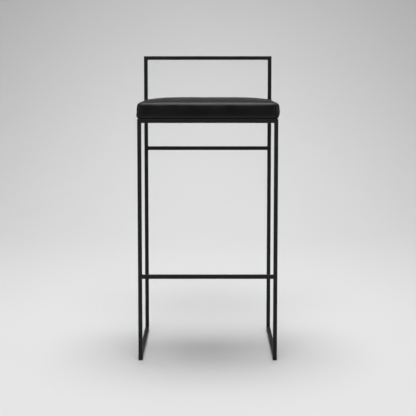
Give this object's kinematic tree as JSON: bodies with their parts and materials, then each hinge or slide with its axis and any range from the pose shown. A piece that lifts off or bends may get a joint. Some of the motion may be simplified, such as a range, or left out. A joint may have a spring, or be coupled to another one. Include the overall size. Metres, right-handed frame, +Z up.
{
  "type": "bar stool",
  "caption": "Bar stool with a thin square-bar steel frame on floor runners, a front footrest bar, a padded black leather seat and a low open back under a plain top bar.",
  "frame": {"origin": "on the floor, in the middle of the stool's footprint (the centre of the bounding box's base)", "axes": "+Z up; -Y is the front, the way a sitter faces; +X to the right of someone looking at the front"},
  "size_m": [0.427, 0.4334, 0.9215],
  "materials": {
    "black_powder_coat": "satin",
    "glide_plastic": "matte",
    "black_leather": "satin",
    "wadding": "matte",
    "foam": "matte",
    "plywood": "matte",
    "lining": "matte",
    "zinc_plate": "satin"
  },
  "bodies": {
    "root": {"front_leg_left": "black_powder_coat", "front_leg_right": "black_powder_coat", "rear_post_left": "black_powder_coat", "rear_post_right": "black_powder_coat", "floor_runner_left": "black_powder_coat", "floor_runner_right": "black_powder_coat", "seat_rail_left": "black_powder_coat", "seat_rail_right": "black_powder_coat", "seat_rail_front": "black_powder_coat", "seat_rail_rear": "black_powder_coat", "rear_stretcher": "black_powder_coat", "footrest_bar": "black_powder_coat", "backrest_bar": "black_powder_coat", "seat_tab_front_left": "black_powder_coat", "seat_tab_front_right": "black_powder_coat", "seat_tab_rear_left": "black_powder_coat", "seat_tab_rear_right": "black_powder_coat", "glide_front_left": "glide_plastic", "glide_front_right": "glide_plastic", "glide_rear_left": "glide_plastic", "glide_rear_right": "glide_plastic", "seat_cover": "black_leather", "seat_wadding": "wadding", "seat_foam": "foam", "seat_board": "plywood", "dust_cloth": "lining", "seat_screw_front_left": "zinc_plate", "seat_screw_front_right": "zinc_plate", "seat_screw_rear_left": "zinc_plate", "seat_screw_rear_right": "zinc_plate", "washer_front_left": "zinc_plate", "washer_front_right": "zinc_plate", "washer_rear_left": "zinc_plate", "washer_rear_right": "zinc_plate", "tee_nut_front_left": "zinc_plate", "tee_nut_front_right": "zinc_plate", "tee_nut_rear_left": "zinc_plate", "tee_nut_rear_right": "zinc_plate"}
  },
  "joints": []
}
